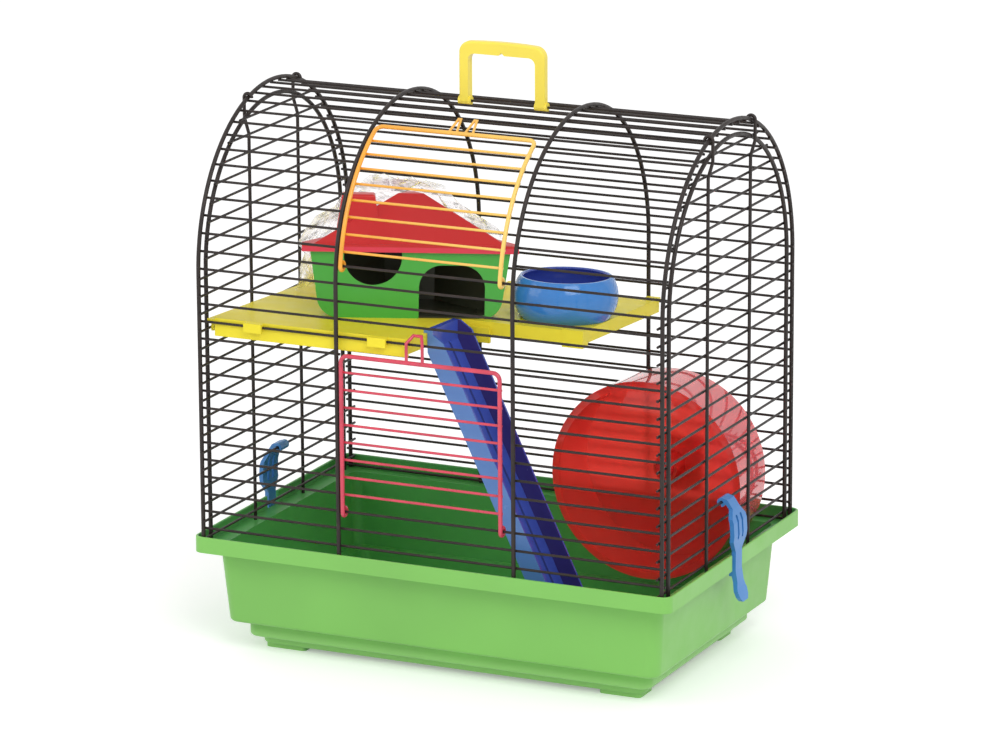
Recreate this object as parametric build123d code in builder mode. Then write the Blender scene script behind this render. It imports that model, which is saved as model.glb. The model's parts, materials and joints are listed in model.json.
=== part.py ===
from build123d import *
import os
from math import cos, degrees, pi, radians, sin, tan

# Hamster cage: a moulded tray, a barrel-vaulted wire top with two doors, end clips and a carrying handle,
# and the fittings that live inside it.  Millimetres, +Z up, X along the cage, the front at -Y.
# The origin is the middle of the tray's footprint, on the surface that it stands on.

# ------------------------------------------------------------------ tray
tray_length = 360.0
tray_width = 236.0
rim_height = 86.0            # top edge of the rim above the table
rim_band = 11.4              # depth of the outer band
tray_wall = 2.0
ledge_thickness = 2.4        # shelf inside the rim that the wire top stands on
rim_corner = 7.0
body_corner = 9.0
body_inset_top = 12.5        # the body stands in from the rim by this much under the ledge
body_inset_bottom = 16.6
body_bottom = 21.5
step_inset = 26.7
step_bottom = 9.3
base_inset = 33.9
base_bottom = 3.0
foot_length = 31.0
foot_width = 22.0
foot_corner = 3.0
rim_round = 0.8
tier_round = 2.5
notch_width = 17.0           # gap in each end of the rim for a clip

# ------------------------------------------------------------------ wire top
hoop_rod = 3.0
wire_rod = 1.8
running_gap = 0.3            # between pieces that move past each other
end_hoop_inset = 7.0         # end hoops stand in from the tray's ends
middle_hoop_left_x = -68.0
middle_hoop_right_x = 64.0
leg_height = 196.4           # from the ledge to the spring of the arch
first_wire_height = 1.9      # lowest long wire above the ledge
wire_count = 61
wire_overhang = 1.6          # long wires pass the end hoops' centres by this much
stub_gap = 1.5               # wires cut for the doors stop this far past a middle hoop's centre
inner_arch_drop = 10.7       # inner arch of an end panel, in from the end hoop
end_upright_rod = 2.4
end_upright_y = 37.0
end_wire_count = 24
end_wire_tick = 1.1          # end wires stand out past the hoop legs
end_wire_short = 1.2         # and stop short of the long wires in the arch

# ------------------------------------------------------------------ doors
door_rod = 3.0
door_left = -64.5
door_right = 54.5
door_corner = 5.0
door_bars = 8
curl_turn = 265.0
lower_hinge_wire = 3
upper_hinge_wire = 17
upper_bar_start = 0.8        # first bar above the hinge wire, in wire pitches
upper_bar_step = 0.965       # from bar to bar, in wire pitches
latch_rod = 2.2
latch_left = -15.0
latch_right = -3.0
spring_rod = 1.8
spring_loop_x = (-8.0, 4.0)
spring_loop_base = 6.0
spring_loop_length = 14.0

# ------------------------------------------------------------------ deck and ramp
deck_front_wire = 13
deck_back_wire = 12
deck_rise = 2.0              # top face above the centres of the wires that carry it
deck_plate = 2.2
deck_skirt = 11.5
deck_side_skirt = 9.5
deck_wall = 2.0
deck_end_gap = 0.7           # from the deck's left edge to the end wires
deck_wire_gap = 0.5          # from its front and back edges to the long wires
deck_length = 153.0          # of the full-depth part
deck_wing = 90.0             # of the narrower part to its right
deck_hooks = (37.0, 131.5)   # middles of the hooks, from the deck's left edge
corner_block = 15.5          # stiffening block under the front corner of the narrower part
hook_width = 13.5
hook_thickness = 1.9
ramp_setback = 30.4          # ramp's near side behind the deck's front edge
ramp_width = 46.0
ramp_gap = 0.3               # between the edge of the deck and the ramp's back
ramp_reach = 2.8             # how far its lip stands out over the deck from its back
ramp_hang = 12.3             # its top corner below the deck's surface
ramp_foot_gap = 0.3
ramp_angle = 64.6            # slope from the horizontal
ramp_wall = 1.8
ramp_side = 14.0             # depth of the channel's sides
ramp_lip = 2.0
wing_gap = 10.0              # between the ramp and the narrower part of the deck

# ------------------------------------------------------------------ wheel
wheel_radius = 71.5
wheel_depth = 52.0
wheel_bottom = 43.0          # above the table
wheel_end_gap = 7.5          # from the end wires
wheel_wall_gap = 5.6         # from the tray's back wall, at its top
wheel_wall = 1.8
axle_radius = 3.95
axle_clearance = 0.05
hub_radius = 9.0
hub_length = 17.0
end_float = 0.15
cap_thickness = 3.0
bracket_drop = 21.5          # plate below the axle
bracket_width = 32.0
bracket_plate = 2.1
bracket_wire = 4             # back wire that the bracket hangs on

# ------------------------------------------------------------------ house, bowl, handle, clips, nesting film
house_setback = 70.1         # middle of the house's front wall behind the deck's front edge
house_inset = 120.4          # and in from the deck's left edge
house_yaw = 26.0
house_base = 124.0
house_corner = 15.0
house_side = 3.0             # depth of the side walls, before the back walls close in
house_depth = 67.0
house_back = 37.0            # width of the back wall
house_wall = 2.0
wall_height = 50.0
wall_flare = 7.4             # each side leans out by this much over its height
eave_height = 46.5
eave_band = 5.5
eave_width = 149.3
eave_front = 3.0             # roof stands out in front of the front wall by this much
eave_side = 6.0
eave_depth = 74.0
eave_back = 46.0
roof_height = 30.0           # ridge above the eave band
hip_width = 132.6
hip_depth = 62.0
hip_back = 36.0
ridge_share = 0.132          # size of the ridge against the foot of the slopes
ridge_place = 36.0           # middle of the slopes behind the front wall
roof_wall = 3.0              # measured upright
chimney_x = -36.2
chimney_y = 23.0
chimney_width = 31.3
chimney_depth = 20.0
chimney_taper = 8.0
chimney_round = 2.0
window_radius = 20.0
window_x = -25.6
window_z = 43.0
door_hole_width = 45.5
door_hole_height = 37.4
door_hole_x = 29.0
door_hole_corner = 16.0
bowl_inset = 31.0            # bowl's centre in from the deck's right edge
bowl_setback = 128.4         # and behind the deck's front edge
bowl_radius = 36.6
bowl_rim_radius = 32.8
bowl_foot_radius = 30.5
bowl_height = 29.5
bowl_wall = 3.0
handle_x = 5.0
handle_width = 64.5
handle_height = 42.8         # above the wire that it stands on
handle_crown = 1.5
handle_corner = 8.0
handle_leg = 7.0
handle_foot = 9.0
handle_depth = 7.0
handle_bar = 9.0
grip_corner = 5.0
grip_notch = 3.0
snap_radius = 3.2
clip_thickness = 3.0
clip_end_wire = 3
clip_eye_width = 12.0
clip_shoulder_width = 23.0
clip_neck_width = 11.0
clip_tab_width = 16.0
clip_drop = 22.0             # tab's end below the rim band
film_gap = 4.0               # between the nesting film and the house's roof
film_height = 82.0

# ------------------------------------------------------------------ places worked out from the sizes above
rim_bottom = rim_height - rim_band
ledge_z = rim_bottom + ledge_thickness
hoop_radius = tray_width / 2 - tray_wall - running_gap - hoop_rod / 2
wire_radius = hoop_radius - hoop_rod / 2 - wire_rod / 2
inner_arch_radius = hoop_radius - inner_arch_drop
door_radius = wire_radius + wire_rod / 2 + running_gap + door_rod / 2
curl_radius = door_radius - wire_radius
bar_radius = door_radius - door_rod / 2 - wire_rod / 2
end_hoop_x = tray_length / 2 - end_hoop_inset
end_wire_x = end_hoop_x - hoop_rod / 2 - wire_rod / 2
spring_z = ledge_z + leg_height
first_wire_z = ledge_z + first_wire_height
leg_run = spring_z - first_wire_z
wire_pitch = (2 * leg_run + pi * wire_radius) / (wire_count - 1)
lower_top_wire = lower_hinge_wire + door_bars + 1
upper_top_wire = upper_hinge_wire + upper_bar_start + door_bars * upper_bar_step
door_middle = (door_left + door_right) / 2
floor_z = base_bottom + tray_wall
deck_left = -(end_wire_x - wire_rod / 2 - deck_end_gap)
deck_reach = wire_radius - wire_rod / 2 - deck_wire_gap
deck_inner_x = deck_left + deck_length
deck_right = deck_inner_x + deck_wing
ramp_front = -deck_reach + ramp_setback
ramp_back = ramp_front + ramp_width
ramp_top_x = deck_inner_x + ramp_gap
ramp_lip_left = ramp_top_x - ramp_reach
deck_right_front = ramp_back + wing_gap
wheel_x = end_wire_x - wheel_end_gap - wheel_radius
wheel_z = wheel_bottom + wheel_radius
wheel_back = tray_width / 2 - body_inset_top - tray_wall - wheel_wall_gap
wheel_front = wheel_back - wheel_depth
hub_front = wheel_back - hub_length
house_x = deck_left + house_inset
house_y = -deck_reach + house_setback
bowl_x = deck_right - bowl_inset
bowl_y = -deck_reach + bowl_setback

os.makedirs("parts", exist_ok=True)


def save(piece, name):
    piece.part.label = name
    export_step(piece.part, f"parts/{name}.step")


def lean_at(place):
    """Angle round the arch at a place counted in wires: 0 on the front legs, 180 on the back ones."""
    run = place * wire_pitch - leg_run
    return min(max(degrees(run / wire_radius), 0.0), 180.0)


def wire_spot(place, radius=wire_radius):
    """(y, z) on the barrel at a place counted in wires, from the front ledge over the arch to the back."""
    lean = radians(lean_at(place))
    below = max(leg_run - place * wire_pitch, place * wire_pitch - leg_run - pi * wire_radius, 0.0)
    return -radius * cos(lean), spring_z + radius * sin(lean) - below


def rod_along_x(y, z, start, end, rod):
    with Locations(((start + end) / 2, y, z)):
        Cylinder(rod / 2, end - start, rotation=(0, 90, 0))


def bend_rod(path, rod, corners=Transition.TRANSFORMED):
    """Round rod that follows a path."""
    with BuildSketch(Plane(origin=path @ 0, z_dir=path % 0)) as section:
        Circle(rod / 2)
    sweep(section.sketch, path=path, transition=corners)


def hoop(x, radius):
    """Round-topped hoop across the cage, standing on the ledge."""
    with Locations((x, -radius, (ledge_z + spring_z) / 2), (x, radius, (ledge_z + spring_z) / 2)):
        Cylinder(hoop_rod / 2, leg_height)
    with BuildSketch(Plane.XY.offset(spring_z)) as section:
        with Locations((x, -radius)):
            Circle(hoop_rod / 2)
    revolve(section.sketch, axis=Axis((x, 0, spring_z), (-1, 0, 0)), revolution_arc=180)


# ================================================================== tray
def tray_outline(inset, corner, height):
    """The tray's outline at a height, drawn in by an inset."""
    with BuildSketch(Plane.XY.offset(height)) as outline:
        RectangleRounded(tray_length - 2 * inset, tray_width - 2 * inset, corner)
    return outline.sketch


def outline_edges(piece, height, inset):
    """Edges at a height that lie on the tray's outline, drawn in by an inset."""
    reach_x = tray_length / 2 - inset - 0.01
    reach_y = tray_width / 2 - inset - 0.01
    level = piece.edges().filter_by_position(Axis.Z, height - 0.01, height + 0.01)
    return level.filter_by(lambda edge: max(abs(edge.bounding_box().max.X), abs(edge.bounding_box().min.X)) > reach_x
                           or max(abs(edge.bounding_box().max.Y), abs(edge.bounding_box().min.Y)) > reach_y)


with BuildPart() as tray:
    # three tiers, each standing out past the one below, under the rim band
    extrude(tray_outline(base_inset, body_corner, base_bottom), amount=step_bottom - base_bottom)
    extrude(tray_outline(step_inset, body_corner, step_bottom), amount=body_bottom - step_bottom)
    loft([tray_outline(body_inset_bottom, body_corner, body_bottom), tray_outline(body_inset_top, body_corner, rim_bottom)])
    extrude(tray_outline(0, rim_corner, rim_bottom), amount=rim_band)
    fillet(outline_edges(tray, base_bottom, base_inset), tier_round)
    fillet(outline_edges(tray, step_bottom, step_inset), tier_round)
    fillet(outline_edges(tray, body_bottom, body_inset_bottom), tier_round)

    # four feet
    with BuildSketch():
        with GridLocations(tray_length - 2 * base_inset - foot_length - 6, tray_width - 2 * base_inset - foot_width - 6,
                           2, 2):
            RectangleRounded(foot_length, foot_width, foot_corner)
    extrude(amount=base_bottom + tray_wall / 2)

    # the inside follows the outside, one wall in
    inner_corner = body_corner - tray_wall
    base_floor = tray_outline(base_inset + tray_wall, inner_corner, base_bottom + tray_wall)
    extrude(base_floor, amount=step_bottom - base_bottom, mode=Mode.SUBTRACT)
    step_floor = tray_outline(step_inset + tray_wall, inner_corner, step_bottom + tray_wall)
    extrude(step_floor, amount=body_bottom - step_bottom, mode=Mode.SUBTRACT)
    body_floor = tray_outline(body_inset_bottom + tray_wall, inner_corner, body_bottom + tray_wall)
    body_mouth = tray_outline(body_inset_top + tray_wall, inner_corner, ledge_z)
    loft([body_floor, body_mouth], mode=Mode.SUBTRACT)
    extrude(tray_outline(tray_wall, rim_corner - tray_wall, ledge_z), amount=rim_band, mode=Mode.SUBTRACT)
    fillet(outline_edges(tray, rim_height, tray_wall), rim_round)

    # a notch in each end of the rim, where a clip passes
    with Locations((-tray_length / 2, 0, rim_bottom + rim_band / 2), (tray_length / 2, 0, rim_bottom + rim_band / 2)):
        Box(2 * tray_wall, notch_width, rim_band + 2, mode=Mode.SUBTRACT)
save(tray, "tray")

# ================================================================== wire top: hoops
for hoop_name, hoop_place in (
    ("end_hoop_left", -end_hoop_x),
    ("middle_hoop_left", middle_hoop_left_x),
    ("middle_hoop_right", middle_hoop_right_x),
    ("end_hoop_right", end_hoop_x),
):
    with BuildPart() as cage_hoop:
        hoop(hoop_place, hoop_radius)
    save(cage_hoop, hoop_name)

# ================================================================== wire top: long wires
# wires that would cross the door openings are cut back to the middle hoops
lower_gap = range(lower_hinge_wire + 1, lower_top_wire + 1)
upper_gap = range(upper_hinge_wire + 1, upper_hinge_wire + door_bars + 1)
cut_wires = [*lower_gap, *upper_gap]
long_end = end_hoop_x + wire_overhang

with BuildPart() as full_wires:
    for place in range(wire_count):
        if place not in cut_wires:
            rod_along_x(*wire_spot(place), -long_end, long_end, wire_rod)
save(full_wires, "full_wires")

with BuildPart() as door_bay_wires_left:
    for place in cut_wires:
        rod_along_x(*wire_spot(place), -long_end, middle_hoop_left_x + stub_gap, wire_rod)
save(door_bay_wires_left, "door_bay_wires_left")

with BuildPart() as door_bay_wires_right:
    for place in cut_wires:
        rod_along_x(*wire_spot(place), middle_hoop_right_x - stub_gap, long_end, wire_rod)
save(door_bay_wires_right, "door_bay_wires_right")


# ================================================================== wire top: end panels
def end_wire_z(place):
    return first_wire_z + wire_pitch * (place + 0.5)


def end_wire_reach(z):
    """Half the length of a cross wire at a height: past the hoop's legs, or short of it in the arch."""
    if z < rim_height + wire_rod:
        return hoop_radius + hoop_rod / 2 - running_gap
    if z < spring_z:
        return hoop_radius + hoop_rod / 2 + end_wire_tick
    return ((wire_radius - wire_rod / 2 - end_wire_short) ** 2 - (z - spring_z) ** 2) ** 0.5


def upright(side, y):
    """Upright that passes outside the inner arch and hooks over the end hoop."""
    arch_z = spring_z + (inner_arch_radius ** 2 - y ** 2) ** 0.5
    hoop_z = spring_z + (hoop_radius ** 2 - y ** 2) ** 0.5
    near_x = end_wire_x + wire_rod / 2 + end_upright_rod / 2
    bend = hoop_rod / 2 + end_upright_rod / 2 + 0.25
    with BuildLine(Plane.XZ.offset(-y)) as rise:
        FilletPolyline((side * near_x, ledge_z), (side * near_x, arch_z - 14), (side * (end_hoop_x + bend), arch_z - 3),
                       (side * (end_hoop_x + bend), hoop_z), radius=8)
        ThreePointArc((side * (end_hoop_x + bend), hoop_z), (side * end_hoop_x, hoop_z + bend),
                      (side * (end_hoop_x - bend), hoop_z))
    bend_rod(rise.line, end_upright_rod)


for side, side_name in ((-1, "left"), (1, "right")):
    with BuildPart() as inner_arch:
        hoop(side * end_hoop_x, inner_arch_radius)
    save(inner_arch, f"{side_name}_inner_arch")

    with BuildPart() as uprights:
        upright(side, -end_upright_y)
        upright(side, end_upright_y)
    save(uprights, f"{side_name}_uprights")

    with BuildPart() as end_wires:
        for place in range(end_wire_count):
            with Locations((side * end_wire_x, 0, end_wire_z(place))):
                Cylinder(wire_rod / 2, 2 * end_wire_reach(end_wire_z(place)), rotation=(90, 0, 0))
    save(end_wires, f"{side_name}_end_wires")


# ================================================================== doors
def hinge_curl(x, place):
    """Eye at the foot of a door's leg, curled round its hinge wire."""
    with BuildLine(Plane.YZ.offset(x)) as eye:
        CenterArc(wire_spot(place), curl_radius, 180 - lean_at(place), curl_turn)
    bend_rod(eye.line, door_rod)


lower_hinge_z = wire_spot(lower_hinge_wire)[1]
lower_top_z = wire_spot(lower_top_wire)[1]
latch_wire_z = wire_spot(lower_top_wire + 1)[1]

with BuildPart() as lower_door_frame:
    with BuildLine(Plane.XZ.offset(door_radius)) as outline:
        FilletPolyline((door_left, lower_hinge_z), (door_left, lower_top_z), (door_right, lower_top_z),
                       (door_right, lower_hinge_z), radius=door_corner)
    bend_rod(outline.line, door_rod)
    hinge_curl(door_left, lower_hinge_wire)
    hinge_curl(door_right, lower_hinge_wire)
    # spring loop that snaps in over the wire above
    loop_bend = (-door_radius, latch_wire_z + 1.2)
    loop_crown = (-door_radius + 5.3, latch_wire_z + 5.8)
    with BuildLine() as latch_loop:
        Polyline((latch_left, -door_radius, lower_top_z), (latch_left, *loop_bend), (latch_left + 3, *loop_crown),
                 (latch_right - 3, *loop_crown), (latch_right, *loop_bend), (latch_right, -door_radius, lower_top_z))
    bend_rod(latch_loop.line, latch_rod, Transition.RIGHT)
save(lower_door_frame, "lower_door_frame")

with BuildPart() as lower_door_bars:
    for place in range(lower_hinge_wire + 1, lower_top_wire):
        rod_along_x(*wire_spot(place, bar_radius), door_left - 0.5, door_right + 0.5, wire_rod)
save(lower_door_bars, "lower_door_bars")

hinge_lean = lean_at(upper_hinge_wire)
corner_lean = lean_at(upper_top_wire) - degrees(door_corner / door_radius)


def on_arch(x, lean, radius=door_radius, past=0.0):
    """Point on the arch, or past it along the tangent."""
    turn = radians(lean)
    return x, -radius * cos(turn) + past * sin(turn), spring_z + radius * sin(turn) + past * cos(turn)


with BuildPart() as upper_door_frame:
    for x, inward in ((door_left, 1), (door_right, -1)):
        with BuildLine() as bow:
            ThreePointArc(on_arch(x, hinge_lean), on_arch(x, (hinge_lean + corner_lean) / 2), on_arch(x, corner_lean))
            bend_middle = door_corner * sin(radians(45))
            ThreePointArc(on_arch(x, corner_lean),
                          on_arch(x + inward * (door_corner - bend_middle), corner_lean, past=bend_middle),
                          on_arch(x + inward * door_corner, corner_lean, past=door_corner))
            Line(on_arch(x + inward * door_corner, corner_lean, past=door_corner),
                 on_arch(door_middle, corner_lean, past=door_corner))
        bend_rod(bow.line, door_rod)
        hinge_curl(x, upper_hinge_wire)
    # two spring loops that reach over the next wire
    for x in spring_loop_x:
        with BuildLine() as spring_loop:
            Polyline(on_arch(x - spring_loop_base / 2, corner_lean, past=door_corner),
                     on_arch(x - 0.9, corner_lean, past=door_corner + spring_loop_length),
                     on_arch(x + 0.9, corner_lean, past=door_corner + spring_loop_length),
                     on_arch(x + spring_loop_base / 2, corner_lean, past=door_corner))
        bend_rod(spring_loop.line, spring_rod, Transition.RIGHT)
save(upper_door_frame, "upper_door_frame")

with BuildPart() as upper_door_bars:
    for bar in range(door_bars):
        bar_place = upper_hinge_wire + upper_bar_start + bar * upper_bar_step
        rod_along_x(*wire_spot(bar_place, bar_radius), door_left - 0.5, door_right + 0.5, wire_rod)
save(upper_door_bars, "upper_door_bars")

# ================================================================== carrying handle
ridge_y, ridge_z = wire_spot((wire_count - 1) / 2)

handle_plane = Plane(origin=(handle_x, 0, ridge_z), x_dir=(1, 0, 0), z_dir=(0, -1, 0))
shoulder = handle_height - handle_crown
grip_top = handle_height - handle_bar

with BuildPart() as handle:
    with BuildSketch(handle_plane.offset(handle_depth / 2)) as loop:
        with BuildLine():
            Polyline((-handle_width / 2, shoulder), (-handle_width / 2, 0), (handle_width / 2, 0),
                     (handle_width / 2, shoulder))
            ThreePointArc((-handle_width / 2, shoulder), (0, handle_height), (handle_width / 2, shoulder))
        make_face()
        fillet(loop.vertices().group_by(Axis.Y)[-1], handle_corner)
        # room for the hand, with a small notch under the bar
        with Locations((0, (grip_top - 2 * grip_corner) / 2)):
            RectangleRounded(handle_width - 2 * handle_leg, grip_top + 2 * grip_corner, grip_corner, mode=Mode.SUBTRACT)
        with Locations((0, grip_top)):
            Rectangle(grip_notch, grip_notch, rotation=45, mode=Mode.SUBTRACT)
    extrude(amount=-handle_depth)
    # the bar is rounded along its top
    fillet(handle.faces().sort_by(Axis.Z)[-1].edges().filter_by(Axis.Y, reverse=True), 1.6)
    # feet that snap over the ridge wire
    for x in (handle_x - (handle_width - handle_leg) / 2, handle_x + (handle_width - handle_leg) / 2):
        rod_along_x(0, ridge_z, x - handle_foot / 2, x + handle_foot / 2, 2 * snap_radius)
        with Locations((x, 0, ridge_z)):
            Cylinder(wire_rod / 2 + 0.05, handle_foot, rotation=(0, 90, 0), mode=Mode.SUBTRACT)
        with Locations((x, 0, ridge_z - snap_radius)):
            Box(handle_foot, wire_rod - 0.3, 2 * snap_radius, mode=Mode.SUBTRACT)
save(handle, "handle")

# ================================================================== deck
deck_front_z = wire_spot(deck_front_wire)[1]
deck_back_z = wire_spot(deck_back_wire)[1]
deck_slope = (deck_back_z - deck_front_z) / (2 * wire_radius)
deck_normal = (0, -deck_slope, 1)
deck_top = Plane(origin=(0, 0, (deck_front_z + deck_back_z) / 2 + deck_rise), x_dir=(1, 0, 0), z_dir=deck_normal)

def deck_block(x_range, y_range, low, high, mode=Mode.ADD):
    """Block between two heights above the deck's top face."""
    with BuildSketch(deck_top.offset(low)) as footprint:
        with Locations(((x_range[0] + x_range[1]) / 2, (y_range[0] + y_range[1]) / 2)):
            Rectangle(x_range[1] - x_range[0], y_range[1] - y_range[0])
    extrude(footprint.sketch, amount=high - low, mode=mode)


def wire_hook(x, side, wire_z, width=hook_width, reach=3.1, drop=6.5):
    """Tab that goes out over a wire and turns down outside it."""
    over_z = wire_z + wire_rod / 2
    outside = wire_radius + reach
    with Locations((x, side * (deck_reach - 2 + outside) / 2, over_z + hook_thickness / 2)):
        Box(width, outside - deck_reach + 2, hook_thickness)
    with Locations((x, side * (outside - hook_thickness / 2), over_z + hook_thickness - drop / 2)):
        Box(width, hook_thickness, drop)


with BuildPart() as deck:
    with BuildSketch(deck_top):
        with BuildLine():
            Polyline((deck_left, -deck_reach), (deck_inner_x, -deck_reach), (deck_inner_x, deck_right_front),
                     (deck_right, deck_right_front), (deck_right, deck_reach), (deck_left, deck_reach), close=True)
        make_face()
    extrude(amount=-deck_plate)
    # turned-down edges
    deck_block((deck_left + 6, deck_inner_x), (-deck_reach, -deck_reach + deck_wall), -deck_skirt, 1)
    deck_block((deck_left, deck_left + deck_wall), (-deck_reach + 6, deck_reach), -deck_side_skirt, 0)
    deck_block((deck_inner_x - deck_wall, deck_inner_x), (-deck_reach, deck_right_front), -deck_side_skirt, 0)
    deck_block((deck_inner_x - deck_wall, deck_right), (deck_right_front, deck_right_front + deck_wall),
               -deck_side_skirt, 0)
    deck_block((deck_right - deck_wall, deck_right), (deck_right_front, deck_reach), -deck_side_skirt, 0)
    deck_block((deck_right + 1.5 - corner_block, deck_right + 1.5), (deck_right_front - 1, deck_right_front + 8),
               -deck_skirt, 0.8)
    # hooks over the front wire, and tabs that rest on the back one
    for hook in deck_hooks:
        wire_hook(deck_left + hook, -1, deck_front_z)
        wire_hook(deck_left + hook, 1, deck_back_z, drop=hook_thickness, reach=1)
    wire_hook(deck_right - 5, 1, deck_back_z, width=10, drop=hook_thickness, reach=0.6)
save(deck, "deck")

# ================================================================== ramp
foot_z = floor_z + ramp_foot_gap
ramp_top_z = deck_top.origin.Z + deck_slope * (ramp_front + ramp_back) / 2 - ramp_hang
run_per_drop = 1 / tan(radians(ramp_angle))
side_run = ramp_side / sin(radians(ramp_angle))
floor_run = ramp_wall / sin(radians(ramp_angle))
shoulder_z = ramp_top_z + 7
above_ramp = deck_top.origin.Z + ramp_side   # a level clear of the ramp's top


def slope_x(z, shift=0.0):
    """X of the ramp's underside at a height, moved along by a shift."""
    return ramp_top_x + (ramp_top_z - z) * run_per_drop + shift


with BuildPart() as ramp:
    with BuildSketch(Plane.XZ.offset(-ramp_front)):
        with BuildLine():
            Polyline((ramp_top_x, ramp_top_z), (ramp_top_x, ramp_top_z + 18), (ramp_top_x + 4, ramp_top_z + 18),
                     (ramp_top_x + 4, ramp_top_z + 12.5), (slope_x(shoulder_z, side_run), shoulder_z),
                     (slope_x(foot_z, side_run), foot_z), (slope_x(foot_z), foot_z), close=True)
        make_face()
    extrude(amount=-ramp_width)
    # the channel between the sides
    with BuildSketch(Plane.XZ.offset(-ramp_front - ramp_wall)):
        with BuildLine():
            Polyline((ramp_top_x + ramp_wall, above_ramp), (ramp_top_x + ramp_wall, ramp_top_z + 0.6),
                     (slope_x(0, floor_run), 0), (slope_x(0, 2 * side_run), 0), (slope_x(0, 2 * side_run), above_ramp),
                     close=True)
        make_face()
    extrude(amount=-ramp_width + 2 * ramp_wall, mode=Mode.SUBTRACT)
    # two ribs down the floor
    for rib_y in (ramp_front + ramp_width / 3, ramp_front + 2 * ramp_width / 3):
        with BuildSketch(Plane.XZ.offset(-rib_y + 0.8)):
            with BuildLine():
                Polyline((ramp_top_x + 1, ramp_top_z + 2), (slope_x(ramp_top_z, floor_run + 1.6), ramp_top_z),
                         (slope_x(foot_z, floor_run + 1.6), foot_z), (slope_x(foot_z, 1), foot_z), close=True)
            make_face()
        extrude(amount=-1.6)
    # the top is cut level with the lip that lies on the deck
    deck_block((ramp_lip_left, ramp_top_x + ramp_width), (ramp_front - 5, ramp_back + 5), ramp_lip, 2 * ramp_side,
               Mode.SUBTRACT)
    deck_block((ramp_lip_left, ramp_top_x + ramp_wall), (ramp_front, ramp_back), 0, ramp_lip)
save(ramp, "ramp")

# ================================================================== house
house_turn = radians(house_yaw)
house_along = (cos(house_turn), sin(house_turn), deck_slope * sin(house_turn))
house_floor = Plane(origin=(house_x, house_y, deck_top.origin.Z + deck_slope * house_y), x_dir=house_along,
                    z_dir=deck_normal)
house_front = Plane(origin=house_floor.origin, x_dir=house_floor.x_dir, z_dir=-house_floor.y_dir)


def house_block(margin):
    """The body's front outline run back within its plan, drawn in by a margin and then open above and below."""
    top = wall_height + 2 * margin
    foot_half = house_base / 2
    top_half = foot_half + wall_flare * top / wall_height
    with BuildPart() as block:
        with BuildSketch(house_front) as outline:
            Polygon((-foot_half, 0), (foot_half, 0), (top_half, top), (-top_half, top), align=None)
            fillet(outline.vertices().group_by(Axis.Y)[0], house_corner)
            if margin:
                offset(amount=-margin)
                Rectangle(house_base - 2 * house_corner, house_corner)
        extrude(outline.sketch, amount=-house_depth)
        extrude(house_plan(margin, -margin), amount=wall_height + 2 * margin, mode=Mode.INTERSECT)
    return block.part


def corner_plan(width, side, back, front, depth):
    """Outline of a piece that stands in a corner: straight in front, with back walls that close in."""
    Polygon((-width / 2, front), (width / 2, front), (width / 2, front + side), (back / 2, front + depth),
            (-back / 2, front + depth), (-width / 2, front + side), align=None)


def house_plan(margin, height):
    with BuildSketch(house_floor.offset(height)) as plan:
        corner_plan(house_base + 2 * wall_flare, house_side, house_back, 0, house_depth)
        if margin:
            offset(amount=-margin, kind=Kind.INTERSECTION)
    return plan.sketch


with BuildPart() as house_body:
    add(house_block(0))
    add(house_block(house_wall), mode=Mode.SUBTRACT)
    with BuildSketch(house_front.offset(1)) as openings:
        with Locations((door_hole_x, door_hole_height / 2 - door_hole_corner)):
            RectangleRounded(door_hole_width, door_hole_height + 2 * door_hole_corner, door_hole_corner)
        with Locations((window_x, window_z)):
            Circle(window_radius)
    extrude(openings.sketch, amount=-house_wall - 1.5, mode=Mode.SUBTRACT)
save(house_body, "house_body")

eave_top = eave_height + eave_band
ridge_height = eave_top + roof_height


def roof_plan(height, margin=0):
    with BuildSketch(house_floor.offset(height)) as plan:
        corner_plan(eave_width, eave_side, eave_back, -eave_front, eave_depth)
        if margin:
            offset(amount=-margin, kind=Kind.INTERSECTION)
    return plan.sketch


def hip_level(height, share):
    """The slopes' outline at a height, as a share of its size at the foot."""
    with BuildSketch(house_floor.offset(height)) as level:
        corner_plan(hip_width * share, 2.5 * share, hip_back * share, ridge_place - 38 * share, hip_depth * share)
    return level.sketch


with BuildPart() as house_roof:
    extrude(roof_plan(eave_height), amount=eave_band)
    loft([hip_level(eave_top, 1), hip_level(ridge_height, ridge_share)])
    with BuildSketch(house_floor.offset(eave_top)) as chimney:
        with Locations((chimney_x, chimney_y)):
            Rectangle(chimney_width, chimney_depth)
    extrude(chimney.sketch, amount=roof_height + 1, taper=chimney_taper)
    fillet(house_roof.faces().sort_by(Axis.Z)[-1].edges(), chimney_round)
    # hollow inside, with a shelf that sits on the body's walls
    extrude(roof_plan(eave_height - 1, 2), amount=wall_height - eave_height + 1, mode=Mode.SUBTRACT)
    extrude(hip_level(wall_height - 1, 0.86), amount=eave_top - wall_height + 1, mode=Mode.SUBTRACT)
    inner_share = 1 - (1 - ridge_share) * roof_wall / roof_height
    loft([hip_level(eave_top, inner_share), hip_level(ridge_height - roof_wall, ridge_share)], mode=Mode.SUBTRACT)
save(house_roof, "house_roof")

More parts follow.
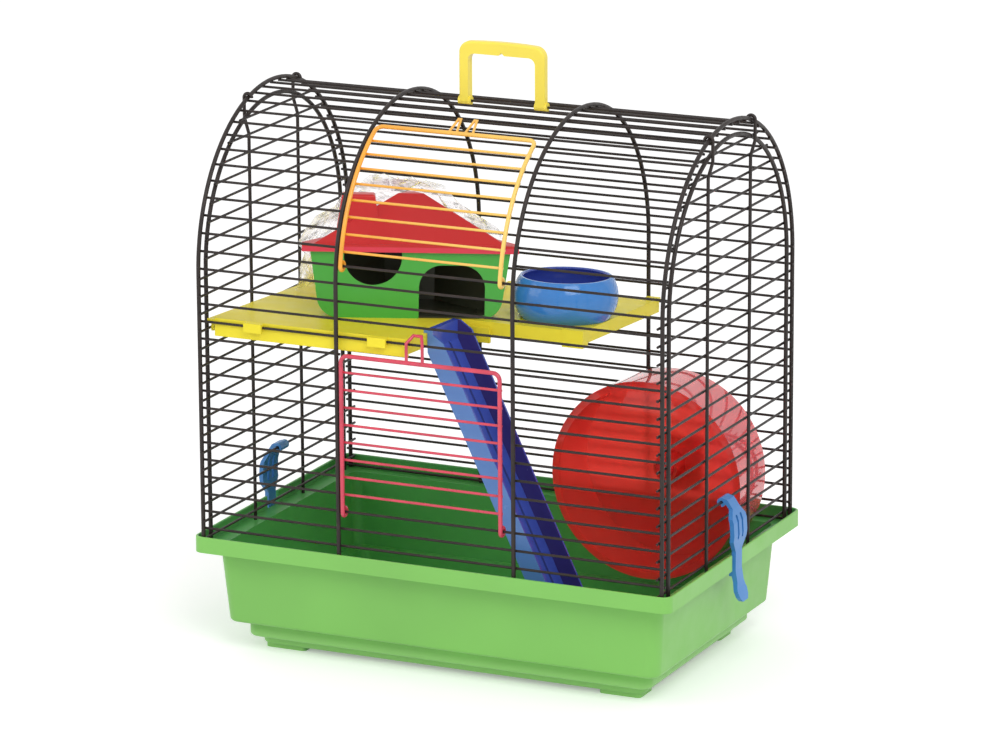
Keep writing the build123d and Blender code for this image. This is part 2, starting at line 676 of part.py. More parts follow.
# ================================================================== food bowl
bowl_floor = Plane(origin=(bowl_x, bowl_y, deck_top.origin.Z + deck_slope * bowl_y), x_dir=(1, 0, 0),
                   z_dir=deck_normal)
with BuildPart() as bowl:
    with BuildSketch(Plane(origin=bowl_floor.origin, x_dir=bowl_floor.x_dir, z_dir=-bowl_floor.y_dir)):
        with BuildLine():
            Line((0, 0), (bowl_foot_radius, 0))
            ThreePointArc((bowl_foot_radius, 0), (bowl_radius, bowl_height / 2), (bowl_rim_radius, bowl_height - 1))
            Polyline((bowl_rim_radius, bowl_height - 1), (bowl_rim_radius - 0.8, bowl_height),
                     (bowl_rim_radius - bowl_wall + 0.8, bowl_height), (bowl_rim_radius - bowl_wall, bowl_height - 1))
            ThreePointArc((bowl_rim_radius - bowl_wall, bowl_height - 1), (bowl_radius - bowl_wall, bowl_height / 2),
                          (bowl_foot_radius - bowl_wall, bowl_wall + 1))
            Polyline((bowl_foot_radius - bowl_wall, bowl_wall + 1), (0, bowl_wall), (0, 0))
        make_face()
    revolve(axis=Axis(bowl_floor.origin, bowl_floor.z_dir))
save(bowl, "bowl")

# ================================================================== running wheel, its bracket and the cap on the pin
axle = Axis((wheel_x, 0, wheel_z), (0, 1, 0))
wheel_plane = Plane(origin=(wheel_x, 0, wheel_z), x_dir=(1, 0, 0), z_dir=(0, 0, 1))
wheel_back_radius = wheel_radius - 2.5
with BuildPart() as running_wheel:
    with BuildSketch(wheel_plane):
        with BuildLine():
            Polyline((axle_radius + axle_clearance, hub_front + end_float), (hub_radius, hub_front + end_float),
                     (hub_radius, wheel_back - wheel_wall), (wheel_back_radius - wheel_wall, wheel_back - wheel_wall),
                     (wheel_radius - wheel_wall, wheel_front + wheel_wall), (wheel_radius - 5, wheel_front + wheel_wall),
                     (wheel_radius - 5, wheel_front), (wheel_radius, wheel_front), (wheel_back_radius, wheel_back),
                     (axle_radius + axle_clearance, wheel_back), close=True)
        make_face()
    revolve(axis=axle)
save(running_wheel, "running_wheel")

bracket_top_z = wire_spot(bracket_wire)[1]
plate_back = wire_radius - wire_rod / 2 - running_gap
with BuildPart() as wheel_bracket:
    with BuildSketch(Plane.XZ.offset(-plate_back)):
        with Locations((wheel_x, (bracket_top_z + wire_rod / 2 + 2 + wheel_z - bracket_drop) / 2)):
            RectangleRounded(bracket_width, bracket_top_z + wire_rod / 2 + 2 - wheel_z + bracket_drop, 3)
    extrude(amount=bracket_plate)
    with BuildSketch(Plane.XZ.offset(-plate_back)):
        with Locations((wheel_x, wheel_z)):
            Circle(7)
    extrude(amount=plate_back - wheel_back - end_float)
    with BuildSketch(Plane.XZ.offset(-plate_back)):
        with Locations((wheel_x, wheel_z)):
            Circle(axle_radius)
    extrude(amount=plate_back - hub_front)
    for x in (wheel_x - 10, wheel_x + 10):
        with Locations((x, (plate_back - 1 + wire_radius + 3) / 2, bracket_top_z + wire_rod / 2 + 1)):
            Box(8, wire_radius + 4 - plate_back, 2)
        with Locations((x, wire_radius + 2, bracket_top_z - 0.5)):
            Box(8, 2, 5)
save(wheel_bracket, "wheel_bracket")

with BuildPart() as wheel_axle_cap:
    with BuildSketch(Plane.XZ.offset(-hub_front)):
        with Locations((wheel_x, wheel_z)):
            Circle(6.5)
    extrude(amount=cap_thickness)
    chamfer(wheel_axle_cap.edges().group_by(Axis.Y)[0], 0.8)
save(wheel_axle_cap, "wheel_axle_cap")

# ================================================================== end clips
clip_wire_z = end_wire_z(clip_end_wire)
rim_x = tray_length / 2
skirt_in = -tray_wall + 0.4
skirt_out = skirt_in + clip_thickness
wire_in = end_wire_x - rim_x
clip_end_z = rim_bottom - clip_drop
clip_profile = (
    (wire_in, clip_wire_z + snap_radius),
    (wire_in + 4.4, clip_wire_z + 2.0),
    (wire_in + 8.6, clip_wire_z - 4.0),
    (skirt_out + 0.9, clip_wire_z - 13.0),
    (skirt_out + 1.4, clip_wire_z - 22.0),
    (skirt_out, rim_height + 3),
    (skirt_out, rim_bottom),
    (skirt_out + 2.0, clip_end_z + 9.5),
    (skirt_out + 5.2, clip_end_z),
    (skirt_out + 1.8, clip_end_z),
    (skirt_out - 1.0, clip_end_z + 9.5),
    (skirt_in, rim_bottom - 4.6),
    (skirt_in - 2.0, rim_bottom - 4.6),
    (skirt_in - 2.0, rim_bottom - 2.1),
    (skirt_in - 0.4, rim_bottom - 0.6),
    (skirt_in, rim_bottom - 0.6),
    (skirt_in, rim_height + 3),
    (skirt_in + 1.3, clip_wire_z - 22.0),
    (skirt_in + 0.7, clip_wire_z - 12.5),
    (wire_in + 6.0, clip_wire_z - 4.8),
    (wire_in + 2.6, clip_wire_z - 0.4),
    (wire_in, clip_wire_z),
)
clip_half_shape = (
    (clip_eye_width / 2, clip_wire_z + 6),
    (clip_eye_width / 2, clip_wire_z - 4),
    (clip_shoulder_width / 2, clip_wire_z - 10),
    (clip_shoulder_width / 2, rim_height + 10),
    (clip_neck_width / 2, rim_height + 2),
    (clip_neck_width / 2, rim_bottom - 8.6),
    (clip_tab_width / 2, clip_end_z + 7.5),
    (clip_tab_width / 2 - 1, clip_end_z + 3),
    (clip_tab_width / 2 - 4, clip_end_z - 0.5),
)
clip_shape = [*clip_half_shape, *((-y, z) for y, z in reversed(clip_half_shape))]
for side, side_name in ((-1, "left"), (1, "right")):
    with BuildPart() as clip:
        with BuildSketch(Plane.XZ.offset(13)):
            with BuildLine():
                Polyline(*((side * (rim_x + out), height) for out, height in clip_profile), close=True)
            make_face()
        extrude(amount=-26)
        # eye round the wire, open below for snapping on
        with Locations((side * end_wire_x, 0, clip_wire_z)):
            Cylinder(snap_radius, 26, rotation=(90, 0, 0))
            Cylinder(wire_rod / 2 + running_gap, 26, rotation=(90, 0, 0), mode=Mode.SUBTRACT)
        with Locations((side * (end_wire_x - 1), 0, clip_wire_z - snap_radius)):
            Box(wire_rod - 0.2, 26, 2 * snap_radius - 1, mode=Mode.SUBTRACT)
        # seen from the end: narrow eye, broad shoulders, narrow neck through the rim, rounded tab
        with BuildSketch(Plane.YZ.offset(side * rim_x)):
            with BuildLine():
                Polyline(*clip_shape, close=True)
            make_face()
            with Locations((-3.6, clip_wire_z - 17), (3.6, clip_wire_z - 17)):
                Rectangle(2.6, 17, mode=Mode.SUBTRACT)
        extrude(amount=40, both=True, mode=Mode.INTERSECT)
    save(clip, f"clip_{side_name}")

# ================================================================== nesting film, heaped behind the house
film_front = eave_depth - eave_front + film_gap
film_left = house_floor.from_local_coords((-eave_width / 2 - 2, film_front))
film_right = house_floor.from_local_coords((eave_width / 2 - 12, film_front))
film_back = deck_reach - 9


def film_level(rise, shrink):
    """The heap's outline at a height: flat towards the house, and drawn in towards its top."""
    pull = 1 - shrink
    heart = (film_left + film_right) / 2
    spots = ((film_left.X, film_left.Y), (film_right.X, film_right.Y), (film_right.X - 10, film_back),
             (deck_left + 9, film_back - 8), (deck_left + 7, film_left.Y + 12))
    flat = [(heart.X + (x - heart.X) * pull, heart.Y + (y - heart.Y) * pull) for x, y in spots]
    with BuildSketch(deck_top.offset(rise)) as level:
        Polygon(*flat, align=None)
    return level.sketch


with BuildPart() as nesting_film:
    loft([film_level(0, 0), film_level(film_height / 2, 0.02), film_level(film_height, 0.62)], ruled=True)
save(nesting_film, "nesting_film")
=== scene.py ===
import json
import random
from math import atan2, cos, pi, radians, sin

import bmesh
import bpy
from mathutils import Matrix, Vector


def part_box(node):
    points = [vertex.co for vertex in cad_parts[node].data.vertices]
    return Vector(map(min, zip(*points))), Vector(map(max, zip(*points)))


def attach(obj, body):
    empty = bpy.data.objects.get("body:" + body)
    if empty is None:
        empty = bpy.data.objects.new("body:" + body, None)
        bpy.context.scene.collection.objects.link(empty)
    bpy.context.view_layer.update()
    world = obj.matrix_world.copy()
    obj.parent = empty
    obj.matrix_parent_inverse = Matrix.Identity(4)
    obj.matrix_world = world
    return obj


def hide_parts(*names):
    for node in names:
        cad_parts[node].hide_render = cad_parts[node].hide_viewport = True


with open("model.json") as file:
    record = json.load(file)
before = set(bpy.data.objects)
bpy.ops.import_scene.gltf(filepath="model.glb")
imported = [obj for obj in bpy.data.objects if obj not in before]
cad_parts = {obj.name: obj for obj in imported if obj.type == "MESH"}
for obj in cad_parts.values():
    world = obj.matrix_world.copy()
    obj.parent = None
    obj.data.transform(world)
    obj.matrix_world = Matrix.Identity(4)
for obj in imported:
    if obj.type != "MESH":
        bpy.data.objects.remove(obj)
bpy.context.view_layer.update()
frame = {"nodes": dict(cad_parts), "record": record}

random.seed(7)
scene = bpy.context.scene
scene.view_settings.view_transform = "Standard"
nodes = frame["nodes"]

MM = 0.001
CAD_CREASE = radians(32)  # edges of the CAD nodes that are sharper than this stay creased
PIECE_CREASE = radians(40)  # the same, for the pieces made here

# the deck slopes a little: its normal, one spot on its top face, and its slope along Y
joints = {j["name"]: j for j in frame["record"]["behaviour"]["joints"]}
deck_up = Vector(joints["house_lift"]["axis"])
deck_spot = Vector(joints["ramp_tilt"]["pos_m"])
deck_slope = -deck_up.y / deck_up.z


def deck_z(y):
    """Height of the deck's top face."""
    return deck_spot.z + deck_slope * (y - deck_spot.y)


def middle(name):
    """Middle of a node's box."""
    return tuple((low + high) / 2 for low, high in zip(*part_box(name)))


def spots(name):
    """All the points of a node."""
    return [v.co for v in nodes[name].data.vertices]


# ---------------------------------------------------------------- camera
def make_camera():
    """Camera fitted to the photograph: its place, aim and lens, and a small shift for the framing."""
    place = (1.530509, -3.271105, 1.153889)
    azimuth, elevation, roll = radians(25.0537), radians(14.9776), radians(-0.2965)
    back = Vector((sin(azimuth) * cos(elevation), -cos(azimuth) * cos(elevation), sin(elevation)))
    side = (-back).cross(Vector((0, 0, 1))).normalized()
    lift = side.cross(-back)
    right = side * cos(roll) + lift * sin(roll)
    up = -side * sin(roll) + lift * cos(roll)
    data = bpy.data.cameras.new("camera")
    data.sensor_width = 36
    data.lens = 193.777
    data.shift_x = -0.000235
    data.shift_y = 0.00643
    data.clip_end = 50
    cam = bpy.data.objects.new("camera", data)
    turn = Matrix((right, up, back)).transposed().to_4x4()
    cam.matrix_world = Matrix.Translation(place) @ turn
    scene.collection.objects.link(cam)
    scene.camera = cam


# ---------------------------------------------------------------- materials
def lin(*rgb):
    """Linear colour from 0-255 screen values."""
    shares = [c / 255 for c in rgb]
    return tuple(c / 12.92 if c <= 0.04045 else ((c + 0.055) / 1.055) ** 2.4 for c in shares) + (1.0,)


def looked_at(tree):
    """1 for rays that look at a surface: straight, in a gloss or through clear plastic."""
    path = tree.nodes.new("ShaderNodeLightPath")
    seen = path.outputs["Is Camera Ray"]
    for ray in ("Is Glossy Ray", "Is Transmission Ray"):
        most = tree.nodes.new("ShaderNodeMath")
        most.operation = "MAXIMUM"
        tree.links.new(seen, most.inputs[0])
        tree.links.new(path.outputs[ray], most.inputs[1])
        seen = most.outputs[0]
    return seen


class Stuff:
    """A node material built round one Principled shader."""

    def __init__(self, name, **sockets):
        self.mat = bpy.data.materials.new(name)
        self.mat.use_nodes = True
        self.tree = self.mat.node_tree
        self.shader = self.tree.nodes["Principled BSDF"]
        self.out = self.tree.nodes["Material Output"]
        texture = self.new("ShaderNodeTexCoord")
        self.coords = texture.outputs["Object"]
        self.normal = texture.outputs["Normal"]
        for key, value in sockets.items():
            self.shader.inputs[key.replace("_", " ")].default_value = value

    def new(self, kind, **settings):
        node = self.tree.nodes.new(kind)
        for key, value in settings.items():
            setattr(node, key, value)
        return node

    def link(self, a, b):
        self.tree.links.new(a, b)

    def put(self, value, socket):
        """Link an output to a socket, or write a plain value on it."""
        if isinstance(value, bpy.types.NodeSocket):
            self.link(value, socket)
        else:
            socket.default_value = value

    def part(self, vector, axis):
        """One coordinate of a vector."""
        split = self.new("ShaderNodeSeparateXYZ")
        self.link(vector, split.inputs[0])
        return split.outputs[axis]

    def vectors(self, operation, first, second):
        n = self.new("ShaderNodeVectorMath", operation=operation)
        self.put(first, n.inputs[0])
        self.put(second, n.inputs[1])
        return n.outputs["Value" if operation == "DOT_PRODUCT" else "Vector"]

    def numbers(self, operation, first, second):
        n = self.new("ShaderNodeMath", operation=operation)
        self.put(first, n.inputs[0])
        self.put(second, n.inputs[1])
        return n.outputs[0]

    def noise(self, scale, detail=3.0):
        n = self.new("ShaderNodeTexNoise")
        n.inputs["Scale"].default_value = scale
        n.inputs["Detail"].default_value = detail
        n.inputs["Roughness"].default_value = 0.55
        self.link(self.coords, n.inputs["Vector"])
        return n.outputs["Fac"]

    def ramp(self, fac, dark, light, start=0.35, end=0.65):
        """From one colour to another while fac goes from start to end."""
        r = self.new("ShaderNodeValToRGB")
        for e, at, colour in zip(r.color_ramp.elements, (start, end), (dark, light)):
            e.position = at
            e.color = colour
        self.link(fac, r.inputs["Fac"])
        return r.outputs["Color"]

    def span(self, fac, low, high, start=0.3, end=0.7):
        """A value that goes from low to high while fac goes from start to end."""
        m = self.new("ShaderNodeMapRange")
        m.inputs["From Min"].default_value = start
        m.inputs["From Max"].default_value = end
        m.inputs["To Min"].default_value = low
        m.inputs["To Max"].default_value = high
        self.link(fac, m.inputs["Value"])
        return m.outputs["Result"]

    def mixed(self, fac, first, second):
        """A mix of two colours."""
        m = self.new("ShaderNodeMix", data_type="RGBA")
        colour_a, colour_b, colour_out = m.inputs[6], m.inputs[7], m.outputs[2]
        self.link(fac, m.inputs[0])
        self.put(first, colour_a)
        self.put(second, colour_b)
        return colour_out

    def inward(self, heart):
        """1 on faces that look towards a point, as the inside of a vessel does."""
        away = self.vectors("SUBTRACT", self.coords, heart)
        return self.numbers("LESS_THAN", self.vectors("DOT_PRODUCT", away, self.normal), 0.0)

    def skin(self):
        """The base colour so far."""
        return self.shader.inputs["Base Color"].links[0].from_socket

    def base(self, colour):
        self.link(colour, self.shader.inputs["Base Color"])
        return self

    def rough(self, fac, low, high, start=0.3, end=0.7):
        self.link(self.span(fac, low, high, start, end), self.shader.inputs["Roughness"])
        return self

    def bump(self, *layers):
        """Bumps on top of each other, each a height, a strength and a distance."""
        last = None
        for fac, strength, distance in layers:
            b = self.new("ShaderNodeBump")
            b.inputs["Strength"].default_value = strength
            b.inputs["Distance"].default_value = distance
            self.link(fac, b.inputs["Height"])
            if last:
                self.link(last, b.inputs["Normal"])
            last = b.outputs["Normal"]
        self.link(last, self.shader.inputs["Normal"])
        return self


def shaded(rgb, shade):
    return lin(*(c * shade for c in rgb))


def moulded(name, rgb, shade=0.86, rough=(0.28, 0.42), grain=0.05, painted_inner_shade=None, heart=None, **sockets):
    """Injection-moulded plastic: slow colour flow, fine grain, uneven gloss; the inside may be deeper with
    painted shade.
    """
    s = Stuff(name, **sockets)
    flow, waves = s.noise(9.0, 2.0), s.noise(22.0, 2.0)
    gloss, fine = s.noise(60.0, 4.0), s.noise(1400.0, 2.0)
    skin = s.ramp(flow, shaded(rgb, shade), lin(*rgb))
    # painted shade: a deeper colour on faces that look towards the heart
    if painted_inner_shade:
        skin = s.mixed(s.inward(heart), skin, s.ramp(flow, shaded(painted_inner_shade, shade), lin(*painted_inner_shade)))
    s.base(skin)
    s.rough(gloss, *rough)
    s.bump((waves, 0.12, 0.6 * MM), (fine, grain, 0.15 * MM))
    return s


def coated(name, rgb, shade=0.8, rough=(0.25, 0.4), **sockets):
    """Powder-coated wire: uneven gloss and an orange-peel skin."""
    s = Stuff(name, **sockets)
    flow, gloss, peel = s.noise(70.0, 3.0), s.noise(300.0, 3.0), s.noise(900.0, 2.0)
    s.base(s.ramp(flow, shaded(rgb, shade), lin(*rgb)))
    s.rough(gloss, *rough)
    s.bump((peel, 0.25, 0.2 * MM))
    return s


def ramp_plastic():
    """The ramp's blue, with painted light and shade on faces to the front: lighter on its near side,
    darker on its far one.
    """
    near, far = -0.070, -0.045
    s = moulded("ramp_blue", (70, 92, 196), shade=0.92, rough=(0.16, 0.28))
    # painted light and shade: the near wall's front face lighter, the far wall's darker
    side = s.mixed(s.span(s.part(s.coords, "Y"), 0.0, 1.0, near, far), lin(92, 136, 204), lin(60, 52, 118))
    to_front = s.numbers("LESS_THAN", s.part(s.normal, "Y"), -0.5)
    return s.base(s.mixed(to_front, s.skin(), side))


def tray_plastic():
    """Leaf green outside; painted shade makes it deeper inside, and painted light makes it a little paler
    at its foot.
    """
    heart, foot_low, foot_high = (0, 0, 0.0805), 0.012, 0.016
    # painted shade: the deeper green inside the tray
    s = moulded("tray_green", (128, 196, 92), shade=0.96, painted_inner_shade=(84, 172, 88), heart=heart)
    # painted light: paler towards the foot, as if lit up from the floor
    painted_foot_light = s.span(s.part(s.coords, "Z"), 0.5, 0.0, foot_low, foot_high)
    return s.base(s.mixed(painted_foot_light, s.skin(), lin(158, 214, 128)))


def wheel_plastic():
    """Red translucent wheel: the outside of its drum is clearer than the rest, and painted pinker, as
    painted light shining through its thin wall.
    """
    start, end = 0.02, 0.03  # metres out from the axle, along the face's normal
    s = Stuff("wheel_red", Transmission_Weight=0.6, IOR=1.2, Coat_Weight=0.6, Coat_Roughness=0.04)
    away = s.vectors("SUBTRACT", s.coords, middle("running_wheel"))
    from_axle = s.vectors("MULTIPLY", away, (1, 0, 1))
    outside = s.span(s.vectors("DOT_PRODUCT", from_axle, s.normal), 0, 1, start, end)
    flow, waves = s.noise(9.0, 2.0), s.noise(22.0, 2.0)
    # painted light: the drum's outside pinker, as light shining through its thin wall
    painted_drum_glow = s.ramp(flow, lin(252, 150, 158), lin(255, 166, 172))
    disc = s.ramp(flow, lin(252, 78, 68), lin(255, 90, 78))
    s.base(s.mixed(outside, disc, painted_drum_glow))
    s.rough(outside, 0.58, 0.06, 0, 1)
    s.bump((waves, 0.08, 0.5 * MM))
    return s


def roof_plastic():
    """Red roof with a painted highlight: a paler, pinker band along the lip that runs round its eaves."""
    s = moulded("roof_red", (208, 28, 28), shade=0.93)
    eaves = min(v.dot(deck_up) for v in spots("house_roof"))
    # painted highlight: a paler pink band along the eaves
    painted_eave_highlight = s.span(s.vectors("DOT_PRODUCT", s.coords, deck_up), 0.8, 0.0, eaves + 3.2 * MM, eaves + 4.0 * MM)
    return s.base(s.mixed(painted_eave_highlight, s.skin(), lin(232, 58, 84)))


def door_coat():
    """Orange powder coat with painted light: paler and yellower towards the door's right side."""
    left, right = -0.066, 0.056
    s = coated("door_orange", (252, 172, 50), shade=0.93, Coat_Weight=0.3, Coat_Roughness=0.2)
    # painted light: the coat paler and yellower towards the right
    painted_light_across = s.span(s.part(s.coords, "X"), 0.0, 1.0, left, right)
    return s.base(s.mixed(painted_light_across, s.skin(), lin(250, 206, 104)))


def film_material():
    """Clear film: very glossy, and unevenly clear."""
    s = Stuff("clear_film", Specular_IOR_Level=1.0, Transmission_Weight=0.85, IOR=1.1,
              Coat_Weight=1.0, Coat_Roughness=0.02)
    flow, gloss, patches = s.noise(40.0, 2.0), s.noise(70.0, 2.0), s.noise(28.0, 1.0)
    # the faint pink in the film's colour is a painted reflection of the red roof
    s.base(s.ramp(flow, lin(250, 238, 242), lin(255, 252, 252)))
    s.rough(gloss, 0.02, 0.12)
    s.link(s.span(patches, 0.25, 0.9, 0.4, 0.6), s.shader.inputs["Alpha"])
    return s


wire_black = coated("wire_black", (46, 37, 34), shade=0.75, rough=(0.35, 0.55), Specular_IOR_Level=0.35)
orange_coat = door_coat()
pink_coat = coated("door_pink", (222, 66, 92), shade=0.9, Coat_Weight=0.3, Coat_Roughness=0.2)
tray_green = tray_plastic()
handle_yellow = moulded("handle_yellow", (252, 230, 84), shade=0.95)
ramp_blue = ramp_plastic()
# the dark inside of the house is painted shade
house_green = moulded("house_green", (74, 178, 64), shade=0.95, painted_inner_shade=(70, 74, 56),
                      heart=middle("house_body"))
roof_red = roof_plastic()
# dark plate colour: painted shade for the inside of the house
painted_floor_shade = moulded("house_floor_painted_shade", (58, 62, 46), shade=0.85)
# the deeper blue inside the bowl is painted shade
bowl_blue = moulded("bowl_blue", (62, 134, 210), shade=0.95, rough=(0.06, 0.12), grain=0.01,
                    painted_inner_shade=(64, 84, 176), heart=middle("bowl"))
clip_blue = moulded("clip_blue", (66, 134, 204), shade=0.93)
bracket_red = moulded("bracket_red", (222, 40, 44), shade=0.93)
deck_yellow = moulded("deck_yellow", (255, 238, 64), shade=0.97, rough=(0.3, 0.45),
                      Transmission_Weight=0.14, IOR=1.25)
wheel_red = wheel_plastic()

# every node that isn't named here is wire
dress = {
    "tray": tray_green, "handle": handle_yellow, "ramp": ramp_blue, "house_body": house_green,
    "house_roof": roof_red, "bowl": bowl_blue, "clip_left": clip_blue, "clip_right": clip_blue,
    "wheel_bracket": bracket_red, "wheel_axle_cap": bracket_red, "deck": deck_yellow,
    "running_wheel": wheel_red, "upper_door_frame": orange_coat, "upper_door_bars": orange_coat,
    "lower_door_frame": pink_coat, "lower_door_bars": pink_coat,
}
for name, node in nodes.items():
    node.data.materials.clear()
    node.data.materials.append(dress.get(name, wire_black).mat)
    for poly in node.data.polygons:
        poly.use_smooth = True
    node.data.set_sharp_from_angle(angle=CAD_CREASE)


# ---------------------------------------------------------------- pieces
def piece_from(bm, name, body, stuff, smooth=True):
    """Make an object of a bmesh, and give it its body and material."""
    bmesh.ops.recalc_face_normals(bm, faces=bm.faces[:])
    mesh = bpy.data.meshes.new(name)
    bm.to_mesh(mesh)
    bm.free()
    for poly in mesh.polygons:
        poly.use_smooth = smooth
    if smooth:
        mesh.set_sharp_from_angle(angle=PIECE_CREASE)
    mesh.materials.append(stuff.mat)
    piece = bpy.data.objects.new(name, mesh)
    scene.collection.objects.link(piece)
    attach(piece, body)
    return piece


# ---------------------------------------------------------------- nesting film
def film_outline():
    """Foot of the film's CAD solid: its height at y 0, its middle, and its corners in order round it."""
    level = 0.4 * MM
    solid = [v.copy() for v in spots("nesting_film")]
    base = min(v.z - deck_slope * v.y for v in solid)
    foot = {(round(v.x, 5), round(v.y, 5)) for v in solid if v.z - deck_slope * v.y < base + level}
    heart = Vector((sum(x for x, _ in foot), sum(y for _, y in foot))) / len(foot)
    return base, heart, sorted(foot, key=lambda c: atan2(c[1] - heart.y, c[0] - heart.x))


def spread_round(foot, count):
    """Points at even steps round an outline."""
    corners = [Vector(c) for c in foot]
    lengths = [(corners[(i + 1) % len(corners)] - c).length for i, c in enumerate(corners)]
    rim = []
    for k in range(count):
        run = sum(lengths) * k / count
        i = 0
        while run > lengths[i]:
            run -= lengths[i]
            i += 1
        rim.append(corners[i].lerp(corners[(i + 1) % len(corners)], run / lengths[i]))
    return rim


def crumpled_film():
    """Clear film, creased into facets and heaped over the space that its CAD solid holds."""
    around, levels = 30, 11
    crease, deep, shallow, deepest = 0.0085, 1.6, 0.5, 0.009
    wall_end, lean_down, fade_in = 0.42, -0.05, 6
    # rows of: share of the way from foot to crown, share of the footprint left there, and height
    profile = ((0.0, 0.985, 0.0008), (wall_end, 0.97, 0.040), (0.78, 0.38, 0.081), (1.0, 0.02, 0.080))
    base, heart, foot = film_outline()
    rim = spread_round(foot, around)
    bm = bmesh.new()
    rings = []
    for level in range(levels + 1):
        t = level / levels
        for (t0, p0, z0), (t1, p1, z1) in zip(profile, profile[1:]):
            if t <= t1 + 1e-9:
                break
        f = (t - t0) / (t1 - t0)
        pull, rise = p0 + (p1 - p0) * f, z0 + (z1 - z0) * f
        twist = 0.5 * (level % 2)
        ring = []
        for k, spot in enumerate(rim):
            near = spot.lerp(rim[(k + 1) % around], twist)
            flat = heart + (near - heart) * pull
            place = Vector((flat.x, flat.y, base + deck_slope * flat.y + rise))
            depth = deep if (k + level) % 3 == 0 else shallow
            dip = crease * random.random() * min(1, fade_in * t) * depth
            inward = Vector(((heart - flat).x, (heart - flat).y, lean_down if t > wall_end else 0.0))
            ring.append(bm.verts.new(place + inward.normalized() * min(dip, deepest)))
        rings.append(ring)
    for a, b in zip(rings, rings[1:]):
        for k in range(around):
            bm.faces.new((a[k], a[(k + 1) % around], b[(k + 1) % around], b[k]))
    bm.faces.new(rings[-1])
    bmesh.ops.triangulate(bm, faces=bm.faces[:])
    return piece_from(bm, "crumpled_film", "wire_top", film_material(), smooth=False)


# the real sheet's size can't be seen
film = crumpled_film()
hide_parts("nesting_film")


# ---------------------------------------------------------------- small moulded details, and a plate of painted shade
def add_block(bm, low, high, edge=0.0005):
    """Block with softened edges between two corners."""
    made = bmesh.ops.create_cube(bm, size=1)["verts"]
    for v in made:
        for k in range(3):
            v.co[k] = (low[k] + high[k]) / 2 + v.co[k] * (high[k] - low[k])
    edges = list({e for v in made for e in v.link_edges})
    bmesh.ops.bevel(bm, geom=edges, offset=edge, segments=2, affect="EDGES")


def add_ring(bm, centre, radius, tube, around=96, sides=10):
    """Ring round an axis along Y."""
    x, y, z = centre
    rings = []
    for i in range(around):
        a = 2 * pi * i / around
        ring = []
        for j in range(sides):
            b = 2 * pi * j / sides
            reach = radius + tube * cos(b)
            ring.append(bm.verts.new((x + reach * cos(a), y + tube * sin(b), z + reach * sin(a))))
        rings.append(ring)
    for i, ring in enumerate(rings):
        after = rings[(i + 1) % around]
        for j in range(sides):
            bm.faces.new((ring[j], after[j], after[(j + 1) % sides], ring[(j + 1) % sides]))


def make_deck_block():
    """Block that is moulded on the front of the deck's right wing, under its top face."""
    left, right, front, thick = -15.6 * MM, 6.5 * MM, -25.3 * MM, 2.2 * MM
    foot, head = deck_z(front) - 14.5 * MM, deck_z(front) - 3.2 * MM
    bm = bmesh.new()
    add_block(bm, (left, front - thick, foot), (right, front, head))
    piece_from(bm, "deck_block", "wire_top", deck_yellow)


def make_house_shade_plate():
    """Thin dark plate inside the foot of the house: painted shade on the floor seen through its doorway.
    """
    share, level, faces = 0.955, 0.3 * MM, (0.3, 0.9)
    walls = spots("house_body")
    low = min(v.dot(deck_up) for v in walls)
    foot = [v for v in walls if v.dot(deck_up) < low + level]
    heart = sum(foot, Vector()) / len(foot)
    bm = bmesh.new()
    for spot in foot:
        for rise in faces:
            bm.verts.new(heart + (spot - heart) * share + deck_up * rise * MM)
    hull = bmesh.ops.convex_hull(bm, input=bm.verts[:])
    spare = {v for v in hull["geom_interior"] + hull["geom_unused"] if isinstance(v, bmesh.types.BMVert)}
    bmesh.ops.delete(bm, geom=list(spare), context="VERTS")
    piece_from(bm, "house_shade_plate", "house", painted_floor_shade)


def make_wheel_bead():
    """Bead round the front edge of the wheel's drum."""
    tube, inset, back = 0.85 * MM, 0.9 * MM, 0.8 * MM
    low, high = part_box("running_wheel")
    x, _, z = middle("running_wheel")
    bm = bmesh.new()
    # the bead's outer half takes the drum's painted pink light, which shows as a light line round the rim
    add_ring(bm, (x, low[1] + back, z), (high[2] - low[2]) / 2 - inset, tube)
    piece_from(bm, "wheel_rim_bead", "wheel", wheel_red)


make_deck_block()
make_house_shade_plate()
make_wheel_bead()


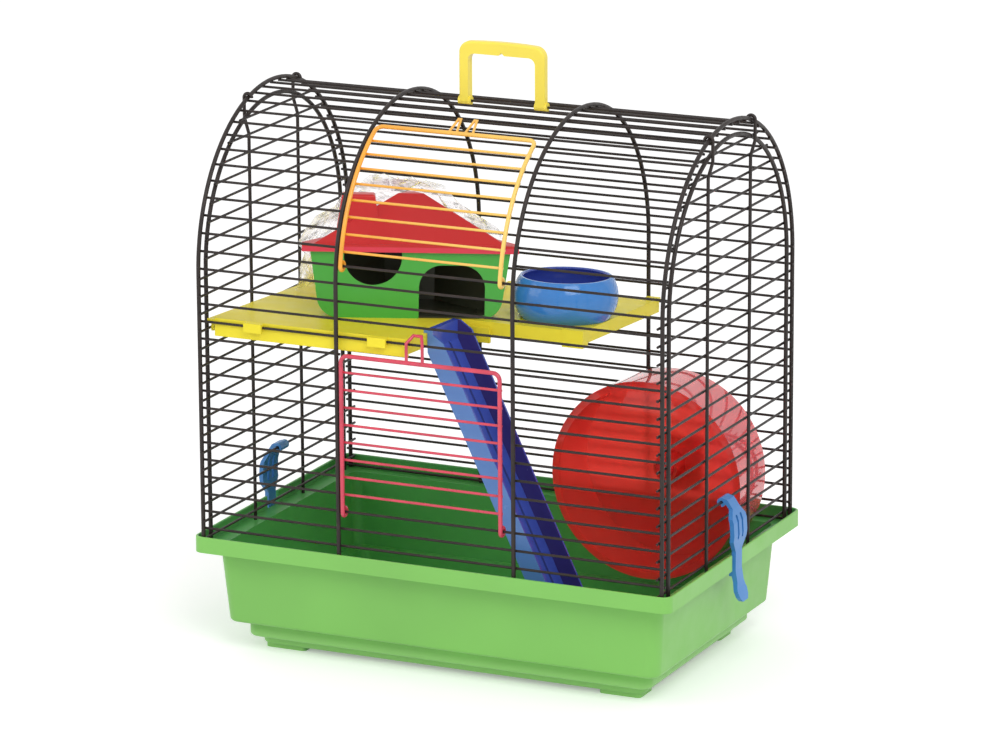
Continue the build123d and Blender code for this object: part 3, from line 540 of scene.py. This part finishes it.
# ---------------------------------------------------------------- stage and light
def make_floor():
    """Plain pale floor; a part of its white is only for rays that look at it, so it lights nothing."""
    own_white = 0.3
    bpy.ops.mesh.primitive_plane_add(size=14, location=(0, 2, 0))
    floor = bpy.context.object
    floor.name = "floor"
    s = Stuff("floor_pale", Roughness=0.9, Specular_IOR_Level=0.1)
    s.base(s.ramp(s.noise(3.0), (0.9, 0.9, 0.9, 1), (0.92, 0.92, 0.92, 1), 0.3, 0.7))
    lift = s.new("ShaderNodeEmission")
    lift.inputs["Color"].default_value = (1, 1, 1, 1)
    s.link(s.numbers("MULTIPLY", looked_at(s.tree), own_white), lift.inputs["Strength"])
    both = s.new("ShaderNodeAddShader")
    s.link(s.shader.outputs[0], both.inputs[0])
    s.link(lift.outputs[0], both.inputs[1])
    s.link(both.outputs[0], s.out.inputs["Surface"])
    floor.data.materials.append(s.mat)


def make_world():
    """Even light all round, and plain white where the world itself is looked at."""
    even_light = 0.76
    world = bpy.data.worlds.new("studio")
    scene.world = world
    world.use_nodes = True
    tree = world.node_tree
    light = tree.nodes["Background"]
    light.inputs["Color"].default_value = (1, 1, 1, 1)
    light.inputs["Strength"].default_value = even_light
    white = tree.nodes.new("ShaderNodeBackground")
    white.inputs["Color"].default_value = (1, 1, 1, 1)
    white.inputs["Strength"].default_value = 1.0
    mix = tree.nodes.new("ShaderNodeMixShader")
    tree.links.new(looked_at(tree), mix.inputs["Fac"])
    tree.links.new(light.outputs[0], mix.inputs[1])
    tree.links.new(white.outputs[0], mix.inputs[2])
    tree.links.new(mix.outputs[0], tree.nodes["World Output"].inputs["Surface"])


def area_light(name, place, power):
    """Soft square lamp, aimed at the middle of the part."""
    size, aim = 1.6, (0, 0, 0.2)
    data = bpy.data.lights.new(name, "AREA")
    data.shape = "RECTANGLE"
    data.size, data.size_y = size, size
    data.energy = power
    lamp = bpy.data.objects.new(name, data)
    lamp.location = place
    lamp.rotation_euler = (Vector(aim) - Vector(place)).to_track_quat("-Z", "Y").to_euler()
    scene.collection.objects.link(lamp)


make_camera()
make_floor()
make_world()
area_light("key", (1.6, -1.7, 2.2), 33)
area_light("fill", (-2.2, -1.6, 1.4), 12)
